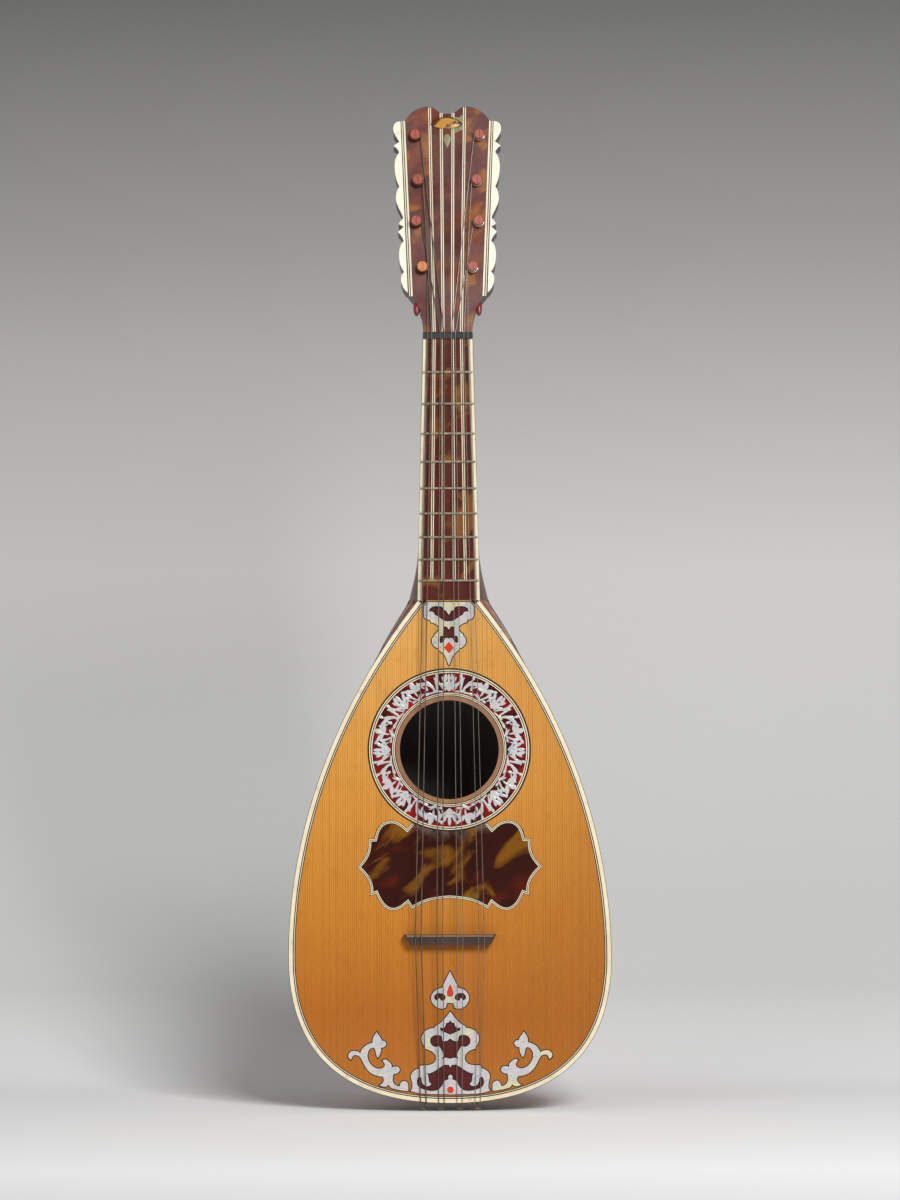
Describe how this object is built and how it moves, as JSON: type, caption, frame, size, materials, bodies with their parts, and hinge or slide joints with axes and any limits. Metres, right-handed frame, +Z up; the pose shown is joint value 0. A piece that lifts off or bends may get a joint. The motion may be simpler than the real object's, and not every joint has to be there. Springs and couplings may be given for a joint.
{
  "type": "mandolin",
  "caption": "Bowl-back mandolin with pear-shaped spruce soundboard, pearl-inlaid rosette, short fretted neck, tilted head with rear tuning pegs and double string courses.",
  "frame": {"origin": "lowest point of the soundboard's edge at the tail, in the plane of the soundboard's front face and on the plane of symmetry", "axes": "+Z up the neck towards the head, -Y out of the soundboard's front face, +X across to the viewer's right when the front is seen"},
  "size_m": [0.1788, 0.1401, 0.5578],
  "materials": {
    "rib_maple": "figured maple under an orange-brown varnish",
    "spruce": "aged spruce, fine straight grain, thin varnish",
    "ivory_edge": "polished ivory strip",
    "edge_lines": "dark and pale line inlay",
    "ring_lines": "dark and ivory rings",
    "red_mastic": "dark red filling",
    "pearl": "mother-of-pearl",
    "tortoiseshell": "mottled tortoiseshell",
    "guard_lines": "dark and ivory double line",
    "clasp_wood": "dark veneer",
    "inner_wood": "bare spruce",
    "neck_wood": "dark varnished hardwood",
    "stripe_lines": "ivory and ebony stripes",
    "fret_metal": "pale worn metal",
    "ebony": "polished ebony",
    "head_wood": "dark stained hardwood",
    "ivory_plate": "polished ivory plate",
    "amber_horn": "translucent pale horn",
    "bone": "polished bone",
    "bridge_wood": "dark hardwood",
    "wound_string": "silvered wire over a core",
    "plain_string": "plain drawn wire",
    "peg_wood": "red-brown polished hardwood"
  },
  "bodies": {
    "instrument": {"soundboard": "spruce", "edge_binding": "ivory_edge", "edge_purfling": "edge_lines", "rosette_lines": "ring_lines", "rosette_ground": "red_mastic", "rosette_pearl": "pearl", "pickguard": "tortoiseshell", "pickguard_border": "guard_lines", "upper_ornament": "pearl", "trefoil_ornament": "pearl", "lower_ornament": "pearl", "scroll_ornaments": "pearl", "ornament_grounds": "red_mastic", "rib_1": "rib_maple", "rib_2": "rib_maple", "rib_3": "rib_maple", "rib_4": "rib_maple", "rib_5": "rib_maple", "rib_6": "rib_maple", "rib_7": "rib_maple", "rib_8": "rib_maple", "rib_9": "rib_maple", "rib_10": "rib_maple", "rib_11": "rib_maple", "rib_12": "rib_maple", "rib_13": "rib_maple", "tail_clasp": "clasp_wood", "tail_cap": "clasp_wood", "tail_block": "inner_wood", "neck_block": "inner_wood", "linings": "inner_wood", "lower_brace": "inner_wood", "upper_brace": "inner_wood", "neck": "neck_wood", "fingerboard": "tortoiseshell", "fingerboard_stripes": "stripe_lines", "fingerboard_edges": "ivory_edge", "frets": "fret_metal", "nut": "ebony", "head_core": "head_wood", "head_edges": "ivory_plate", "head_stripes": "stripe_lines", "head_face": "tortoiseshell", "head_ornament": "amber_horn", "hitch_pins": "bone", "string_course_1": "wound_string", "string_course_2": "wound_string", "string_course_3": "plain_string", "string_course_4": "plain_string"},
    "bridge_slider": {"bridge": "bridge_wood", "bridge_saddle": "bone"},
    "peg_1_body": {"peg_1": "peg_wood"},
    "peg_2_body": {"peg_2": "peg_wood"},
    "peg_3_body": {"peg_3": "peg_wood"},
    "peg_4_body": {"peg_4": "peg_wood"},
    "peg_5_body": {"peg_5": "peg_wood"},
    "peg_6_body": {"peg_6": "peg_wood"},
    "peg_7_body": {"peg_7": "peg_wood"},
    "peg_8_body": {"peg_8": "peg_wood"}
  },
  "joints": [
    {"name": "bridge_slide", "type": "slide", "parent": "instrument", "child": "bridge_slider", "axis": [0, 0, 1], "range_m": [-0.0015, 0.003]},
    {"name": "peg_1_turn", "type": "hinge", "parent": "instrument", "child": "peg_1_body", "pos_m": [-0.014, 0.00963, 0.46213], "axis": [0, 0.9659, -0.2588], "continuous": true},
    {"name": "peg_2_turn", "type": "hinge", "parent": "instrument", "child": "peg_2_body", "pos_m": [-0.0174, 0.01654, 0.48792], "axis": [0, 0.9659, -0.2588], "continuous": true},
    {"name": "peg_3_turn", "type": "hinge", "parent": "instrument", "child": "peg_3_body", "pos_m": [-0.0164, 0.02275, 0.5111], "axis": [0, 0.9659, -0.2588], "continuous": true},
    {"name": "peg_4_turn", "type": "hinge", "parent": "instrument", "child": "peg_4_body", "pos_m": [-0.0179, 0.02963, 0.53679], "axis": [0, 0.9659, -0.2588], "continuous": true},
    {"name": "peg_5_turn", "type": "hinge", "parent": "instrument", "child": "peg_5_body", "pos_m": [0.014, 0.00963, 0.46213], "axis": [0, 0.9659, -0.2588], "continuous": true},
    {"name": "peg_6_turn", "type": "hinge", "parent": "instrument", "child": "peg_6_body", "pos_m": [0.0174, 0.01654, 0.48792], "axis": [0, 0.9659, -0.2588], "continuous": true},
    {"name": "peg_7_turn", "type": "hinge", "parent": "instrument", "child": "peg_7_body", "pos_m": [0.0164, 0.02275, 0.5111], "axis": [0, 0.9659, -0.2588], "continuous": true},
    {"name": "peg_8_turn", "type": "hinge", "parent": "instrument", "child": "peg_8_body", "pos_m": [0.0179, 0.02963, 0.53679], "axis": [0, 0.9659, -0.2588], "continuous": true}
  ]
}
